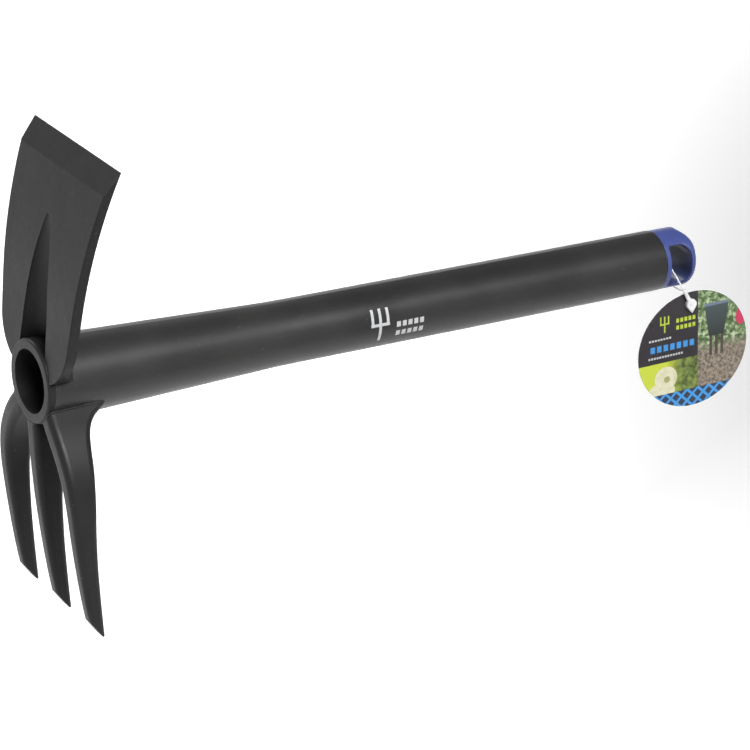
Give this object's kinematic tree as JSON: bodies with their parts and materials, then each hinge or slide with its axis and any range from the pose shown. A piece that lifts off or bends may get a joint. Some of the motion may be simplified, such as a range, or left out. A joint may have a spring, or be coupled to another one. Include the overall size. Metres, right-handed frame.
{
  "type": "combination hand hoe",
  "caption": "Short-handled steel combination hoe: curved blade above the eye, three-tine fork below, tapered tubular handle, plastic end cap with hanging hole, round hang card",
  "frame": {"origin": "centre of the eye's bore at the front face of the eye, on the handle's axis", "axes": "+X along the handle from the eye to the end cap, +Z from the eye to the blade's cutting edge, so the tines point to -Z, and +Y to the side away from the hanging card"},
  "size_m": [0.3887, 0.0856, 0.2287],
  "materials": {
    "black_paint": "satin black powder coat",
    "blue_plastic": "moulded, low sheen",
    "white_nylon": "translucent white nylon",
    "printed_card": "printed and laminated card"
  },
  "bodies": {
    "hoe": {"handle_tube": "black_paint", "eye_collar": "black_paint", "collar_weld": "black_paint", "hoe_blade": "black_paint", "shoulder_weld": "black_paint", "tine_left": "black_paint", "tine_middle": "black_paint", "tine_right": "black_paint", "tine_welds": "black_paint", "end_cap": "blue_plastic"},
    "fastener": {"tag_loop": "white_nylon", "tag_lock": "white_nylon"},
    "card": {"tag_card": "printed_card"}
  },
  "joints": [
    {"name": "loop_swing", "type": "hinge", "parent": "hoe", "child": "fastener", "pos_m": [0.352, 0, 0], "axis": [1, 0, 0], "range_deg": [-14, 20]},
    {"name": "card_swing", "type": "hinge", "parent": "fastener", "child": "card", "pos_m": [0.355, -0.0171, -0.0198], "axis": [0.0802, 0.9968, 0], "range_deg": [-54, 12]}
  ]
}
